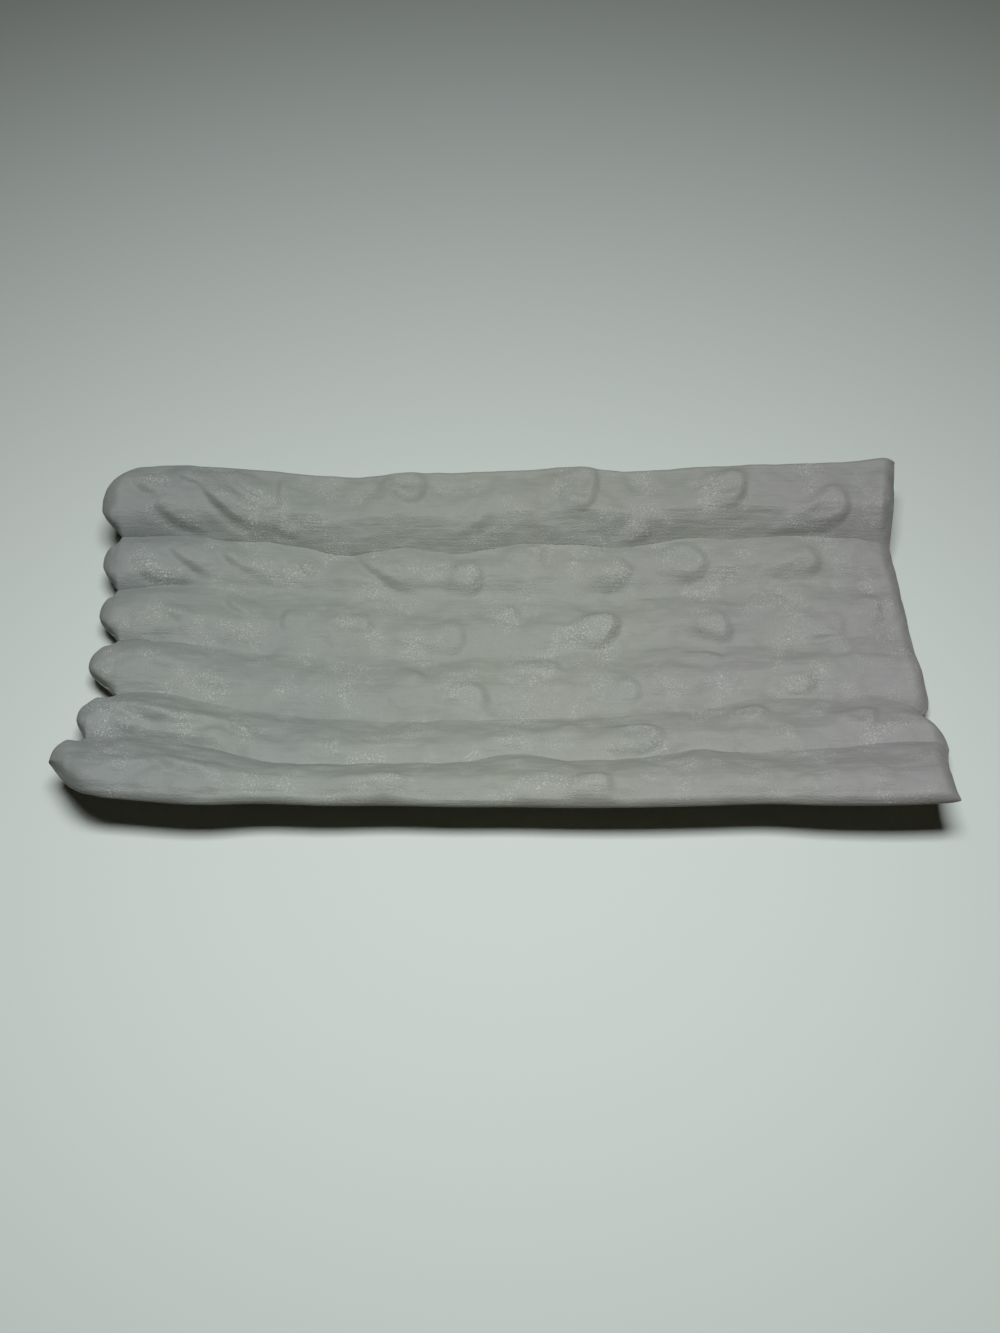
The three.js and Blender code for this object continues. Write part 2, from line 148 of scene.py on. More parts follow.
# each spear, in mm
# crown: its swelling above the seams at head, stalk and cut end
# peak: the share of its width, from the back, where that is highest; ridge is rounder the nearer 2 it gets
# softness: the valleys at its back and front, under 1 is crisp
# tipDrift: how far its tip lies off the middle between its seams, to the back, or to the front where below 0
# cutEnd: how short of the full length it stops at its back, middle and front, or past it where below 0
# cutCorner: how much more the rounding of its front corner takes off
# leaves: blunt end x and y, length, width, rise, turn in degrees, and dimple as a share of the rise
# scales: the free edge of a bud scale from x, y to x, y, its rise, and how far the scale reaches behind it
spears = {
    "spearBackRim": {
        "node": "spear_1", "crown": (5.4, 5.8, 6.0), "peak": 0.58, "ridge": 1.35, "softness": (1.2, 1.0),
        "tipDrift": -1.6, "cutEnd": (1.4, 3.4, 5.2), "cutCorner": 0,
        "leaves": [
            (-81, 51, 14, 9, 0.7, -10, 0), (-27, 67, 20, 17, 2.0, 0, 0.3), (-5, 54, 14, 6, 0.9, 19, 0),
            (39, 67, 23, 18, 2.3, 0, 0.3), (57, 54, 16, 10, 1.3, 30, 0), (94, 67, 21, 17, 2.2, 8, 0.2),
            (131, 61, 30, 17, 2.1, 22, 0.35),
        ],
        "scales": [
            (-138, 66, -128, 61, 1.0, 8), (-122, 69, -111, 65, 1.2, 9), (-112, 64, -94, 51, 1.3, 14),
            (-128, 56, -111, 49, 1.0, 12), (-102, 68, -88, 60, 1.2, 9), (-83, 57, -94, 51, 0.9, 10),
            (-83, 68, -82, 58, 0.9, 8), (-83, 49, -76, 48, 0.8, 5),
        ],
    },
    "spearBackInner": {
        "node": "spear_2", "crown": (4.8, 2.6, 2.0), "peak": 0.55, "ridge": 2.0, "softness": (1.1, 2.0),
        "tipDrift": 1.7, "cutEnd": (5.2, 4.3, 3.1), "cutCorner": 0,
        "leaves": [
            (-35, 36, 7, 7, 0.9, 0, 0), (-5, 32, 18, 15, 1.6, 0, 0.4), (18, 42, 17, 12, 1.3, 0, 0.3),
            (49, 34, 25, 15, 1.2, 5, 0.1), (78, 39, 25, 18, 1.8, 4, 0.1), (120, 38, 26, 13, 1.4, 8, 0.15),
        ],
        "scales": [
            (-122, 40, -109, 32, 1.0, 9), (-103, 39, -91, 33, 1.0, 9), (-75, 37, -70, 32, 0.9, 7),
            (-54, 41, -36, 28, 1.1, 14), (-132, 30, -116, 26, 1.2, 8), (-77, 23, -89, 26, 0.8, 5),
        ],
    },
    "spearMiddleBack": {
        "node": "spear_3", "crown": (4.8, 2.5, 1.8), "peak": 0.54, "ridge": 2.0, "softness": (2.0, 1.8),
        "tipDrift": 0.6, "cutEnd": (3.1, 2.7, 2.1), "cutCorner": 0,
        "leaves": [
            (-46, 11, 17, 11, 1.2, 0, 0.35), (-11, 5, 23, 14, 1.0, 0, 0.3), (9, 17, 11, 10, 1.4, 0, 0),
            (44, 9, 20, 17, 2.5, 2, 0.2), (59, 22, 10, 8, 1.0, 0, 0.1), (85, 11, 18, 14, 1.6, 10, 0.1),
            (105, 21, 20, 12, 1.2, 7, 0.1), (127, 10, 24, 13, 0.9, 8, 0), (141, 17, 20, 14, 1.0, 0, 0.3),
        ],
        "scales": [(-100, 19, -92, 14, 1.2, 8), (-78, 16, -79, 8, 0.8, 9), (-122, 13, -115, 10, 0.9, 7)],
    },
    "spearMiddleFront": {
        "node": "spear_4", "crown": (4.8, 2.5, 1.8), "peak": 0.5, "ridge": 2.0, "softness": (1.8, 2.2),
        "tipDrift": 1.1, "cutEnd": (2.1, 1.0, -0.6), "cutCorner": 4.6,
        "leaves": [
            (-27, -12, 14, 12, 0.9, 0, 0.15), (-3, -21, 19, 14, 1.9, 6, 0.3), (23, -7, 19, 12, 1.4, 4, 0.15),
            (51, -18, 17, 13, 1.3, 12, 0.3), (80, -4, 18, 10, 1.4, 0, 0.1), (112, -16, 15, 12, 1.2, 6, 0.2),
        ],
        "scales": [(-105, -17, -86, -17, 0.7, 7), (-125, -9, -113, -11, 0.7, 7)],
    },
    "spearFrontInner": {
        "node": "spear_5", "crown": (4.8, 3.2, 2.4), "peak": 0.68, "ridge": 1.7, "softness": (1.35, 1.1),
        "tipDrift": 1.5, "cutEnd": (4.0, -0.4, -2.4), "cutCorner": 0,
        "leaves": [
            (30, -38, 19, 11, 1.0, 6, 0.15), (56, -42, 23, 17, 2.0, 0, 0.25), (94, -31, 17, 13, 1.4, 0, 0.15),
            (132, -34, 21, 14, 1.5, 0, 0.3),
        ],
        "scales": [
            (-134, -31, -95, -37, 1.6, 7), (-130, -40, -101, -45, 1.3, 6), (-94, -36, -86, -43, 1.1, 7),
        ],
    },
    "spearFrontRim": {
        "node": "spear_6", "crown": (5.0, 3.6, 3.6), "peak": 0.7, "ridge": 2.0, "softness": (1.1, 1.0),
        "tipDrift": 1.7, "cutEnd": (-2.4, 0.8, 0.4), "cutCorner": 0,
        "leaves": [
            (-29, -67, 16, 13, 1.0, 0, 0), (10, -53, 13, 8, 0.8, 10, 0), (38, -68, 19, 13, 1.5, 0, 0),
            (106, -69, 13, 12, 0.9, 0, 0),
        ],
        "scales": [(-129, -64, -115, -61, 1.3, 7), (-114, -59, -95, -66, 1.6, 8)],
    },
}
spearMesh = {
    "crown": 76, "side": 5, "belly": 10,    # points round a section
    "firstCuts": 23, "secondCuts": 23,      # rings, cut in two goes
    "tipZone": 0.06, "cutZone": 0.03,       # shares of the rings that crowd together at tip and cut end
    "seamOverlap": 0.1,                     # mm that neighbours run into each other, so that no gap shows
    "smoothAngle": 50.0,
}
# a stalk leaf: a soft oval pad with a steeper blunt end, running out towards the tip; on the sides of the
# dish it lies flatter than the clay round it, so that its downhill edge stands proud
leafForm = {
    "bluntWidth": 0.5,      # its blunt half is as long as this share of the width,
    "bluntLength": 0.45,    # and at most this share of the length
    "oval": 0.1,            # no two pads have quite the same outline: two bulges round it,
    "corners": 0.06,        # and three
    "lip": 4.2,             # width of the rounded edge in mm
    "foot": 1.05,           # where that is down on the stalk, the outline being 1
    "tailFrom": -0.4,       # the edge goes over from that of the blunt end, at -1,
    "tailTo": 0.7,          # to that of the tail, at 1,
    "tailEdge": 0.5,        # where this share of the flat top is left
    "dimpleSize": 0.45,
    "moat": 0.04,           # groove round the blunt end, as a share of the rise
    "moatAt": 1.2,          # just outside the outline
    "moatWidth": 0.22,
    "tilt": 0.35,           # at the rims
    "tiltCurve": 3.0,       # how late it comes on the way there
}


def leafRelief(leaf, x, y):
    baseX, baseY, length, width, rise, turn, dimple = leaf
    lean = math.radians(turn)
    along = (baseX - x) * math.cos(lean) + (baseY - y) * math.sin(lean)
    aside = (baseX - x) * math.sin(lean) - (baseY - y) * math.cos(lean)
    blunt = min(leafForm["bluntWidth"] * width, leafForm["bluntLength"] * length)
    tail = length - blunt
    side = aside / (width / 2)
    towards = (along - blunt) / np.where(along < blunt, blunt, tail)
    bearing = np.arctan2(side, towards)
    bulges = leafForm["oval"] * np.sin(2 * bearing + baseX)
    bulges = bulges + leafForm["corners"] * np.sin(3 * bearing + baseY)
    away = np.hypot(towards, side) * (1 + bulges)
    running = smooth(leafForm["tailFrom"], leafForm["tailTo"], towards)
    flatTop = (1 - leafForm["lip"] / blunt) * (1 - (1 - leafForm["tailEdge"]) * running)
    pad = 1 - smooth(flatTop, leafForm["foot"], away)
    downhill = np.clip(-side if baseY > 0 else side, -1, 1)
    steepness = (abs(baseY) / halfWidth) ** leafForm["tiltCurve"]
    pad = pad * (1 + leafForm["tilt"] * steepness * downhill)
    hollow = dimple * np.exp(-((away / leafForm["dimpleSize"]) ** 2))
    fromMoat = (away - leafForm["moatAt"]) / leafForm["moatWidth"]
    moat = leafForm["moat"] * (1 - running) * np.exp(-(fromMoat**2))
    return rise * (pad - hollow - moat)


# a bud scale: a free edge that stands up off the head, with the scale falling away behind it
scaleForm = {
    "step": 1.5,                # half the width of the step at the free edge in mm
    "flat": 0.15,               # share of the scale's reach before it falls away
    "bow": 0.06,                # bow of the edge, as a share of its length
    "crease": 0.4,              # pressed in before the edge, as a share of the rise
    "creaseWidth": 1.7,         # in mm
    "creaseAt": 1.1,            # how many such widths before the edge
    "comesUp": (-0.25, 0.3),    # from here to here along the edge, as shares of its length,
    "goesDown": (0.7, 1.25),    # and down again
}


def scaleRelief(scale, x, y):
    startX, startY, endX, endY, rise, reach = scale
    length = math.hypot(endX - startX, endY - startY)
    alongX, alongY = (endX - startX) / length, (endY - startY) / length
    along = ((x - startX) * alongX + (y - startY) * alongY) / length
    bow = scaleForm["bow"] * length * (1 - (2 * along - 1) ** 2)
    behind = (y - startY) * alongX - (x - startX) * alongY + bow
    fall = smooth(scaleForm["flat"] * reach, reach, behind)
    step = smooth(-scaleForm["step"], scaleForm["step"], behind) * (1 - fall)
    fromCrease = behind / scaleForm["creaseWidth"] + scaleForm["creaseAt"]
    crease = scaleForm["crease"] * np.exp(-(fromCrease**2))
    ends = smooth(*scaleForm["comesUp"], along) * (1 - smooth(*scaleForm["goesDown"], along))
    return rise * ends * (step - crease)


# leaves that overlap don't add up, and neither do scales
def reliefAt(spear, x, y):
    relief = np.zeros_like(x)
    for kind, shape in (("leaves", leafRelief), ("scales", scaleRelief)):
        high, low = np.zeros_like(x), np.zeros_like(x)
        for each in spear[kind]:
            lift = shape(each, x, y)
            high = np.maximum(high, lift)
            low = np.minimum(low, lift)
        relief += high + low
    return relief


# the back side of a spear, which 0, or its front side, which 1, at the stations x
def sectionSide(index, which, tip, x, closing, past, tipMiddle):
    seam = index + which
    outward = 1 - 2 * which
    rim = seam in (0, lastSeam)
    notch = tray["seamStart"][seam] - halfLength
    gone = np.clip((notch - x) / (notch - tip), 0, 1)
    line = seamAt(seam, np.maximum(x, notch))
    line = line + outward * (-tray["endRound"] * past**2 if rim else spearMesh["seamOverlap"])
    if not rim:
        narrowing = np.arccos(2 * gone ** tray["notchCurve"] - 1) / math.pi
    elif outward > 0:
        narrowing = (1 - gone**2) ** tray["roundTip"]
    else:
        narrowing = (1 - gone ** tray["beakBend"]) ** tray["beakTip"]
    # the crown narrows later than its edges do, so that no crease runs across it from the notch
    late = np.arccos(2 * gone ** tray["crownCurve"] - 1) / math.pi - narrowing
    fuller = (line - tipMiddle) * np.maximum(late, 0)
    line = tipMiddle + (line - tipMiddle) * narrowing
    # a side that is free of its neighbour rounds over from crown to belly, with no flat edge between them
    free = smooth(0, tray["freeBy"], gone)
    full = tray["rimThick"] / 2 if rim else tray["wall"] / 2
    thick = full + (tray["tipEdge"] - full) * free
    # the cut end is sloped off from its top, and only rounded below
    offTop = tray["cutSlope"] * past ** tray["slopeCurve"]
    offBottom = (1 - tray["cutEdge"] - tray["cutSlope"]) * (1 - np.sqrt(1 - past * past))
    half = thick * (1 - offTop - offBottom) * closing
    nose = half * (tray["rimNose"] / full if rim else smooth(0, tray["noseBy"], gone))
    y = line - outward * nose
    slope = dishHeight(x, y + 0.5) - dishHeight(x, y - 0.5)   # rise over 1 mm
    size = np.sqrt(1 + slope * slope)
    return {
        "x": x, "y": y, "z": dishHeight(x, y), "normal": (-slope / size, 1 / size),
        "half": half, "out": outward * nose, "drop": thick * (offTop - offBottom),
        "free": free, "fuller": fuller, "spare": (full - thick) * closing,
    }


# share runs from 1 at the top of a side to -1 at its foot
def sidePoint(side, share):
    out = side["out"] * math.sqrt(max(0.0, 1 - share * share))
    up = side["half"] * share - side["drop"]
    leanY, leanZ = side["normal"]
    y = side["y"] + leanY * up + leanZ * out
    return np.stack([side["x"], y, side["z"] + leanZ * up - leanY * out], -1)


# a dome over the share 0 to 1 of a width, highest at peak: ridge 2 is a parabola, and 1 a roof with
# straight sides
def swell(share, peak, softness, ridge):
    climb = share / peak if share < peak else (1 - share) / (1 - peak)
    power = softness[0] if share < peak else softness[1]
    return 1 - (1 - climb**power) ** ridge


# square to a chord across the spear, in the plane of the section
def squareTo(chord):
    size = np.maximum(np.hypot(chord[:, 1], chord[:, 2]), 1e-6)   # a closed tip has no width
    return np.stack([np.zeros_like(size), chord[:, 2] / size, -chord[:, 1] / size], -1)


# closed sections of a spear at the stations x: crown from back to front, front side, belly, back side;
# with them goes how far leaves and scales stand proud at each point
def spearSections(index, spear, tip, x):
    gone = np.clip((tip + tray["tipRound"] - x) / tray["tipRound"], 0, 1)
    closing = np.sqrt(1 - gone * gone)
    past = np.clip((x - halfLength + tray["endLength"]) / tray["endLength"], 0, 1)
    behind = x + halfLength
    ending = smooth(1 - tray["endShare"], 1, behind / (2 * halfLength))
    headless = smooth(tray["headFull"], 1, behind / tray["headLength"])
    shortBack, shortMiddle, shortFront = spear["cutEnd"]

    # the stations at a share of the width: a parabola through the three cut ends, and the rounded corner
    def cutAt(share):
        short = shortBack * (1 - share) * (1 - 2 * share) + shortFront * share * (2 * share - 1)
        corner = max(0.0, (share - 1) / tray["cornerShare"] + 1)
        short += spear["cutCorner"] * (1 - math.sqrt(1 - corner * corner))
        return x - (short + 4 * shortMiddle * share * (1 - share)) * ending

    tipX = np.array([tip])
    tipMiddle = (seamAt(index, tipX)[0] + seamAt(index + 1, tipX)[0]) / 2 + spear["tipDrift"]
    back = sectionSide(index, 0, tip, cutAt(0), closing, past, tipMiddle)
    front = sectionSide(index, 1, tip, cutAt(1), closing, past, tipMiddle)
    rimBack, rimFront = index == 0, index + 1 == lastSeam
    swelling = closing * (1 - (1 - tray["cutSwell"]) * past)
    head, stalk, butt = spear["crown"]
    crown = head + (stalk - head) * headless
    crown = (crown + (butt - crown) * ending) * swelling
    belly = tray["belly"] * swelling
    softness = []
    bellySoftness = []
    for soft, side in zip(spear["softness"], (back, front)):
        soft = tray["headSoftness"] + (soft - tray["headSoftness"]) * headless
        softness.append(soft + (tray["freeSoftness"] - soft) * side["free"])
        below = tray["bellySoftness"]
        bellySoftness.append(below + (tray["freeSoftness"] - below) * side["free"])
    ridge = tray["headRidge"] + (spear["ridge"] - tray["headRidge"]) * headless
    holds = closing * (1 - past)   # leaves and scales fade out at both ends
    start = sidePoint(back, 1)
    chord = sidePoint(front, 1) - start
    up = squareTo(chord)
    points = []
    proud = []

    # sense 1 goes down a side and -1 up it; leaves on a rim lift its rounded edge too
    def addSide(side, onRim, sense):
        edge = sidePoint(side, 1)
        lift = reliefAt(spear, edge[:, 0], edge[:, 1]) * holds * onRim
        for step in range(spearMesh["side"]):
            level = sense * math.cos(math.pi * step / spearMesh["side"])
            points.append(sidePoint(side, level) + up * (lift * max(0.0, level))[:, None])

    for step in range(spearMesh["crown"]):
        share = step / spearMesh["crown"]
        at = start + chord * share
        at[:, 0] = cutAt(share)
        inside = 1 - abs(2 * share - 1) ** tray["crownFill"]
        at[:, 1] += (back["fuller"] * (1 - share) + front["fuller"] * share) * inside
        backFade = 1.0 if rimBack else smooth(0, tray["seamFade"], share)
        frontFade = 1.0 if rimFront else smooth(0, tray["seamFade"], 1 - share)
        relief = reliefAt(spear, at[:, 0], at[:, 1]) * backFade * frontFade * holds
        proud.append(relief)
        height = crown + back["spare"] * (1 - share) + front["spare"] * share
        height = height * swell(share, spear["peak"], softness, ridge) + relief
        points.append(at + up * height[:, None])
    addSide(front, rimFront, 1)
    start = sidePoint(front, -1)
    chord = sidePoint(back, -1) - start
    down = squareTo(chord)
    for step in range(spearMesh["belly"]):
        share = step / spearMesh["belly"]
        at = start + chord * share
        at[:, 0] = cutAt(1 - share)
        depth = belly + front["spare"] * (1 - share) + back["spare"] * share
        depth = depth * swell(share, 0.5, bellySoftness[::-1], 2)   # an even parabola
        points.append(at + down * depth[:, None])
    addSide(back, rimBack, -1)
    sections = np.stack(points, 1)
    sections[:, :, 1] += toFrame
    sections[:, :, 2] = np.maximum(sections[:, :, 2], 0)   # ground flat where the tray stands
    proud += [np.zeros_like(x)] * (len(points) - len(proud))   # nothing stands proud on sides and belly
    return sections, np.stack(proud, 1)


# a cylinder lying along X, cut into rings
def addBlank(name, ends, around):
    bpy.ops.object.select_all(action="DESELECT")
    middle = (ends[0] + ends[1]) / 2
    bpy.ops.mesh.primitive_cylinder_add(
        vertices=around, radius=tray["pitch"] / 2 * mm, depth=(ends[1] - ends[0]) * mm,
        location=(middle * mm, 0, 0), rotation=(0, math.pi / 2, 0), end_fill_type="NGON",
    )
    blank = bpy.context.object
    blank.name = blank.data.name = name
    bpy.ops.object.transform_apply(location=True, rotation=True, scale=True)
    for cuts in (spearMesh["firstCuts"], spearMesh["secondCuts"]):
        bpy.ops.object.mode_set(mode="EDIT")
        bpy.ops.mesh.select_mode(type="EDGE")
        bpy.ops.mesh.select_all(action="DESELECT")
        bpy.ops.object.mode_set(mode="OBJECT")
        verts = blank.data.vertices
        for edge in blank.data.edges:
            one, other = (verts[v].co for v in edge.vertices)
            edge.select = abs(one.x - other.x) > 0.5 * (one - other).length   # edges that run along the spear
        bpy.ops.object.mode_set(mode="EDIT")
        bpy.ops.mesh.subdivide(number_cuts=cuts)
        bpy.ops.object.mode_set(mode="OBJECT")
    return blank


# hand-pressed clay is never quite even: broad lumps, and finer ones drawn out along the spear by the sponge;
# all go straight up and down, the same on both sides of a seam, so that the seams stay shut. Sizes in mm.
unevenness = {
    "lumps": {"size": 14.0, "height": 2.8, "stretch": 1.4},
    "dents": {"size": 6.5, "height": 1.1, "stretch": 1.2},
    "sponge": {"size": 2.4, "height": 0.24, "stretch": 5.0},
}


# skin is how uneven each vertex gets, 0 to 1
def roughenSkin(piece, skin):
    group = piece.vertex_groups.new(name="skin")
    for level in np.unique(skin.round(2)):
        if level > 0:
            group.add(np.nonzero(skin.round(2) == level)[0].tolist(), float(level), "REPLACE")
    for name, lump in unevenness.items():
        texture = bpy.data.textures.new(name, "CLOUDS")
        texture.noise_scale = lump["size"] * mm
        texture.noise_depth = 1
        guide = bpy.data.objects.new(name + "Guide", None)
        guide.scale = (lump["stretch"], 1, 1)
        bpy.context.scene.collection.objects.link(guide)
        bpy.context.view_layer.update()
        push = piece.modifiers.new(name, "DISPLACE")
        push.texture = texture
        push.texture_coords = "OBJECT"
        push.texture_coords_object = guide
        push.direction = "Z"
        push.vertex_group = "skin"
        push.strength = lump["height"] * mm
        bpy.ops.object.modifier_apply(modifier=name)
        bpy.data.objects.remove(guide)
    piece.vertex_groups.clear()


# the two end faces are cut up by their shortest ways across, so that they follow a hollow cut
def cutEndFaces(piece):
    bpy.ops.object.mode_set(mode="EDIT")
    bpy.ops.mesh.select_mode(type="FACE")
    bpy.ops.mesh.select_all(action="DESELECT")
    bpy.ops.object.mode_set(mode="OBJECT")
    for face in piece.data.polygons:
        face.select = len(face.vertices) > 4
    bpy.ops.object.mode_set(mode="EDIT")
    bpy.ops.mesh.quads_convert_to_tris(quad_method="BEAUTY", ngon_method="BEAUTY")
    bpy.ops.object.mode_set(mode="OBJECT")


def makeSpear(index, name, spear):
    ends = (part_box(spear["node"])[0].x / mm, halfLength)
    around = spearMesh["crown"] + 2 * spearMesh["side"] + spearMesh["belly"]
    rings = (spearMesh["firstCuts"] + 1) * (spearMesh["secondCuts"] + 1)
    piece = addBlank(name, ends, around)
    # rings crowd together at the rounded tip and cut end
    even = np.linspace(0, 1, rings + 1)
    tipZone, cutZone = spearMesh["tipZone"], spearMesh["cutZone"]
    tipPart = 1 - np.cos(np.clip(even / tipZone, 0, 1) * math.pi / 2)
    cutPart = np.sin(np.clip((even - 1 + cutZone) / cutZone, 0, 1) * math.pi / 2)
    share = np.where(even < tipZone, tipZone * tipPart, even)
    share = np.where(even > 1 - cutZone, 1 - cutZone + cutZone * cutPart, share)
    sections, proud = spearSections(index, spear, ends[0], ends[0] + (ends[1] - ends[0]) * share)
    flat = np.zeros(len(piece.data.vertices) * 3)
    piece.data.vertices.foreach_get("co", flat)
    place = flat.reshape(-1, 3)
    ring = np.rint((place[:, 0] / mm - ends[0]) / (ends[1] - ends[0]) * rings).astype(int)
    turn = np.rint(np.arctan2(place[:, 2], place[:, 1]) / (2 * math.pi) * around).astype(int) % around
    laid = sections[ring, turn] * mm
    piece.data.vertices.foreach_set("co", laid.ravel())
    piece.data.update()
    # painted highlight: how far leaves and scales stand proud, which the material turns into paler specks on
    # their tops
    paintedHighlight = piece.data.attributes.new("paintedHighlight", "FLOAT", "POINT")
    paintedHighlight.data.foreach_set("value", np.clip(proud[ring, turn] / bisque["highlightAt"], 0, 1))
    bpy.context.view_layer.objects.active = piece
    piece.select_set(True)
    cutEndFaces(piece)
    # the top is uneven, the belly is not, and the sides go from one to the other
    crown, sides, belly = spearMesh["crown"], spearMesh["side"], spearMesh["belly"]
    downFront = (turn - crown) / sides
    upBack = (turn - crown - sides - belly) / sides
    skin = np.where(turn <= crown, 1.0, np.where(turn < crown + sides, 1 - downFront, np.clip(upBack, 0, 1)))
    roughenSkin(piece, skin)
    bpy.ops.object.shade_smooth_by_angle(angle=math.radians(spearMesh["smoothAngle"]))
    print("spear laid:", name, len(piece.data.polygons), "faces")
    return piece


def linear(hexColour):
    parts = [int(hexColour[place:place + 2], 16) / 255 for place in (1, 3, 5)]
    return [part / 12.92 if part <= 0.04045 else ((part + 0.055) / 1.055) ** 2.4 for part in parts] + [1.0]


def addNode(tree, kind, settings=None, links=None, **fields):
    node = tree.nodes.new(kind)
    for name, value in fields.items():
        setattr(node, name, value)
    for socket, value in (settings or {}).items():
        node.inputs[socket].default_value = value
    for socket, source in (links or {}).items():
        tree.links.new(source, node.inputs[socket])
    return node


# bisque stoneware, pressed and sponged, fired without glaze: a dry grey that the kiln left cool at the tips,
# a little green in the middle and warmer at the cut ends, with pale grit and painted sparkle highlights in
# patches, more painted highlight in pale specks where leaves and scales stand proud, and fine streaks where
# the sponge was wiped along the spears
bisque = {
    # the pale grit colour paints both grit and sparkle highlights
    "tips": "#868c8b", "middle": "#93998f", "cutEnds": "#909090", "gritAndSparkle": "#bbbfba",
    "ior": 1.5, "roughness": 0.62,              # all sizes below are in mm
    "driftSize": 50.0, "driftShare": 0.5,       # share of the length over which the tones are pushed about
    "patchSize": 12.0, "patchRange": (0.49, 0.66), "patchShare": 0.85,
    "highlightAt": 1.5, "highlightShare": 0.42,       # painted highlight is strongest on what stands this proud
    "gritSize": 0.5, "gritRange": (0.53, 0.67), "gritDepth": 0.5,   # real grit is finer and wouldn't show
    "streakWidth": 1.1, "streakLength": 14.0, "streakDepth": 0.4,
    "noiseDetail": 2.0, "bumpStrength": 0.5,
}


def bisqueStoneware():
    material = bpy.data.materials.new("bisqueStoneware")
    material.use_nodes = True
    tree = material.node_tree
    shader = tree.nodes["Principled BSDF"]
    shader.inputs["IOR"].default_value = bisque["ior"]
    shader.inputs["Roughness"].default_value = bisque["roughness"]
    where = addNode(tree, "ShaderNodeTexCoord").outputs["Object"]
    stretch = (bisque["streakWidth"] / bisque["streakLength"], 1.0, 1.0)
    along = addNode(tree, "ShaderNodeMapping", {"Scale": stretch}, {"Vector": where}).outputs["Vector"]
    marks = {}
    for mark, size, vector in (
        ("streak", "streakWidth", along), ("gritAndSparkle", "gritSize", where),
        ("patch", "patchSize", where), ("drift", "driftSize", where),
    ):
        settings = {"Scale": 1 / (bisque[size] * mm), "Detail": bisque["noiseDetail"]}
        marks[mark] = addNode(tree, "ShaderNodeTexNoise", settings, {"Vector": vector}).outputs["Fac"]
    # from the tips to the cut ends, 0 to 1, and pushed about by the drift
    split = addNode(tree, "ShaderNodeSeparateXYZ", None, {"Vector": where})
    place = addNode(
        tree, "ShaderNodeMapRange", {"From Min": -halfLength * mm, "From Max": halfLength * mm},
        {"Value": split.outputs["X"]},
    )
    pushed = addNode(
        tree, "ShaderNodeMath", {1: bisque["driftShare"], 2: -0.5 * bisque["driftShare"]},
        {0: marks["drift"]}, operation="MULTIPLY_ADD",
    )
    fired = addNode(
        tree, "ShaderNodeMath", None, {0: place.outputs["Result"], 1: pushed.outputs["Value"]},
        operation="ADD",
    )
    tone = addNode(tree, "ShaderNodeValToRGB", None, {"Fac": fired.outputs["Value"]})
    ramp = tone.color_ramp
    ramp.elements[0].color = linear(bisque["tips"])
    ramp.elements[1].color = linear(bisque["cutEnds"])
    ramp.elements.new(0.5).color = linear(bisque["middle"])
    # pale grit and painted sparkle show only in patches, and painted highlight shows more on what stands
    # proud
    low, high = bisque["patchRange"]
    patchy = addNode(
        tree, "ShaderNodeMapRange", {"From Min": low, "From Max": high, "To Max": bisque["patchShare"]},
        {"Value": marks["patch"]},
    )
    paintedHighlight = addNode(tree, "ShaderNodeAttribute", attribute_name="paintedHighlight")
    gritAndHighlight = addNode(
        tree, "ShaderNodeMath", {1: bisque["highlightShare"]},
        {0: paintedHighlight.outputs["Fac"], 2: patchy.outputs["Result"]}, operation="MULTIPLY_ADD", use_clamp=True,
    )
    low, high = bisque["gritRange"]
    grains = addNode(
        tree, "ShaderNodeMapRange", {"From Min": low, "From Max": high}, {"Value": marks["gritAndSparkle"]}
    )
    # pale specks of grit and of painted sparkle highlight
    gritAndSparkleSpecks = addNode(
        tree, "ShaderNodeMath", None, {0: gritAndHighlight.outputs["Value"], 1: grains.outputs["Result"]},
        operation="MULTIPLY",
    )
    colour = addNode(
        tree, "ShaderNodeMix", {"B": linear(bisque["gritAndSparkle"])},
        {"Factor": gritAndSparkleSpecks.outputs["Value"], "A": tone.outputs["Color"]}, data_type="RGBA",
    )
    tree.links.new(colour.outputs["Result"], shader.inputs["Base Color"])
    streakBump = addNode(
        tree, "ShaderNodeBump", {"Strength": bisque["bumpStrength"], "Distance": bisque["streakDepth"] * mm},
        {"Height": marks["streak"]},
    )
    gritBump = addNode(
        tree, "ShaderNodeBump", {"Strength": bisque["bumpStrength"], "Distance": bisque["gritDepth"] * mm},
        {"Height": marks["gritAndSparkle"], "Normal": streakBump.outputs["Normal"]},
    )
    tree.links.new(gritBump.outputs["Normal"], shader.inputs["Normal"])
    return material


clay = bisqueStoneware()
for index, (name, spear) in enumerate(spears.items()):
    piece = makeSpear(index, name, spear)
    piece.data.materials.clear()
    piece.data.materials.append(clay)
    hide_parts(spear["node"])
    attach(piece, "root")
print("six spears made")

# table, lamp and camera, in metres where nothing else is said
table = {"size": 6.0, "colour": "#cbd4d0", "bounce": "#8f8772", "roughness": 0.9, "specular": 0.1}
bpy.ops.object.select_all(action="DESELECT")
bpy.ops.mesh.primitive_plane_add(size=table["size"])
floor = bpy.context.object
floor.name = "tableTop"
floorMaterial = bpy.data.materials.new("mattBoard")
floorMaterial.use_nodes = True
floorTree = floorMaterial.node_tree
floorShader = floorTree.nodes["Principled BSDF"]
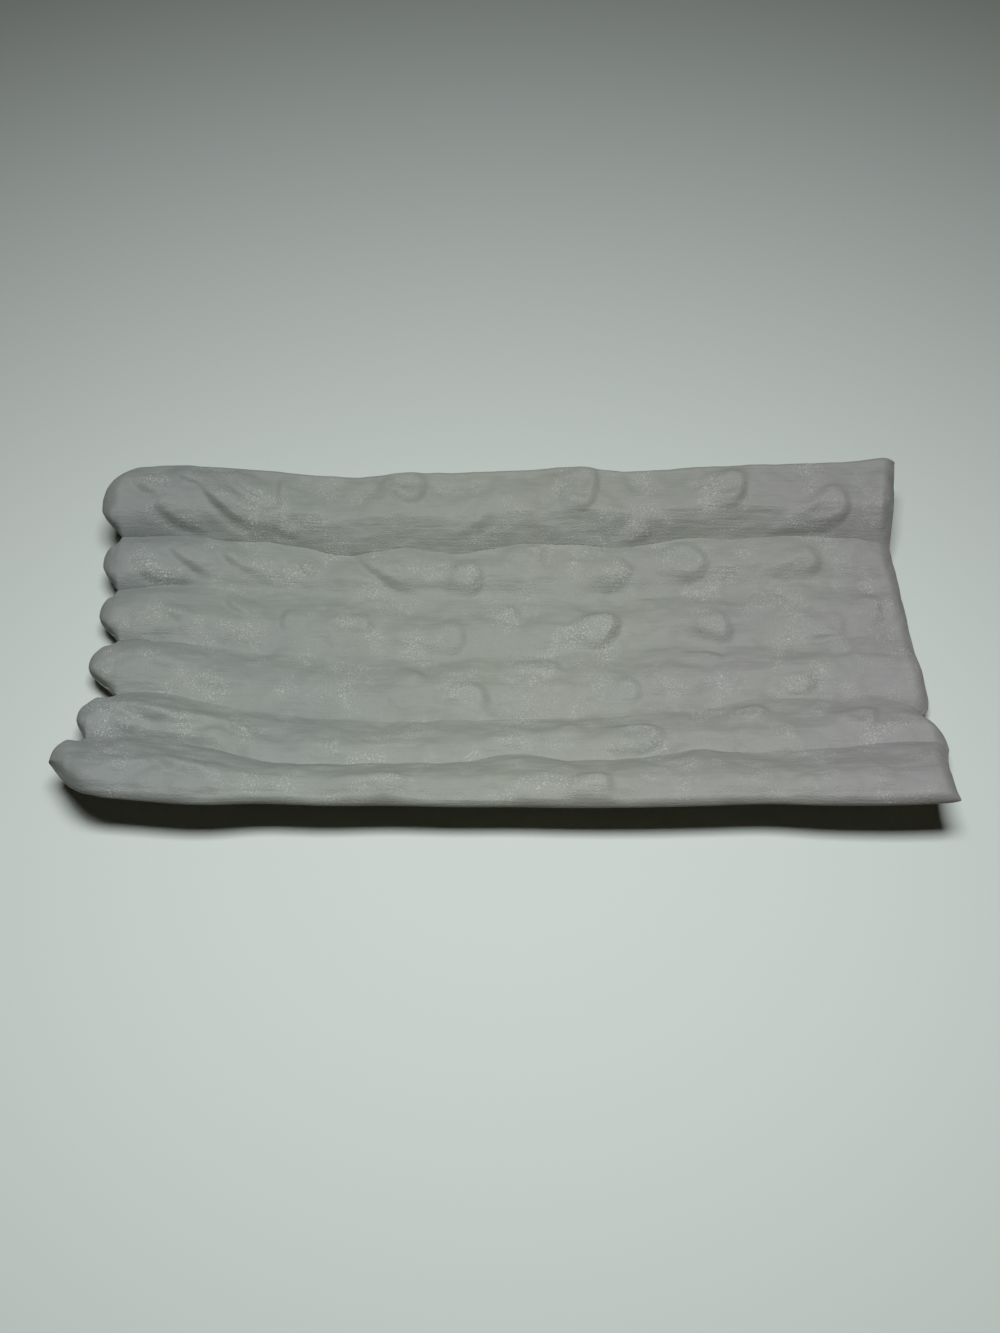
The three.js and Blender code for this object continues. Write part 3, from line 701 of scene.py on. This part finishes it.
# pale to the camera and in reflections, darker and warmer for the light that it throws back up under the tray
ray = addNode(floorTree, "ShaderNodeLightPath")
mirrored = addNode(
    floorTree, "ShaderNodeMath", None,
    {0: ray.outputs["Is Glossy Ray"], 1: ray.outputs["Is Transmission Ray"]}, operation="MAXIMUM",
)
seen = addNode(
    floorTree, "ShaderNodeMath", None, {0: ray.outputs["Is Camera Ray"], 1: mirrored.outputs["Value"]},
    operation="MAXIMUM",
)
board = addNode(
    floorTree, "ShaderNodeMix", {"A": linear(table["bounce"]), "B": linear(table["colour"])},
    {"Factor": seen.outputs["Value"]}, data_type="RGBA",
)
floorTree.links.new(board.outputs["Result"], floorShader.inputs["Base Color"])
floorShader.inputs["Roughness"].default_value = table["roughness"]
floorShader.inputs["Specular IOR Level"].default_value = table["specular"]
floor.data.materials.append(floorMaterial)

# a softbox over the front of the tray, wider along it than across; power in watts and spread in degrees
lamp = {"width": 0.42, "depth": 0.22, "height": 0.9, "front": 0.085, "power": 1.9, "spread": 87.0}
lampData = bpy.data.lights.new("softbox", "AREA")
lampData.shape = "RECTANGLE"
lampData.size = lamp["width"]
lampData.size_y = lamp["depth"]
lampData.spread = math.radians(lamp["spread"])
lampData.energy = lamp["power"]
lampObject = bpy.data.objects.new("softbox", lampData)
lampObject.location = (0, -lamp["front"], lamp["height"])
bpy.context.scene.collection.objects.link(lampObject)

# a dim warm room round it
room = {"colour": "#eedfb4", "strength": 0.015}
world = bpy.data.worlds.new("room")
world.use_nodes = True
background = world.node_tree.nodes["Background"]
background.inputs["Color"].default_value = linear(room["colour"])
background.inputs["Strength"].default_value = room["strength"]
bpy.context.scene.world = world

# place in mm from the middle of the dish, focal length and image height in pixels, sensor in mm
view = {
    "place": (0.0, -344.2, 470.5), "elevation": 54.0, "focal": 1600.0, "imageHeight": 1333.0, "sensor": 36.0,
}
cameraData = bpy.data.cameras.new("photoCamera")
cameraData.sensor_width = view["sensor"]
cameraData.lens = view["focal"] / view["imageHeight"] * cameraData.sensor_width
cameraObject = bpy.data.objects.new("photoCamera", cameraData)
cameraObject.location = [value * mm for value in view["place"]]
cameraObject.location.y += toFrame * mm
cameraObject.rotation_euler = (math.radians(90 - view["elevation"]), 0, 0)
bpy.context.scene.collection.objects.link(cameraObject)
bpy.context.scene.camera = cameraObject
bpy.context.scene.view_settings.view_transform = "Standard"
print("table, lamp and camera set")
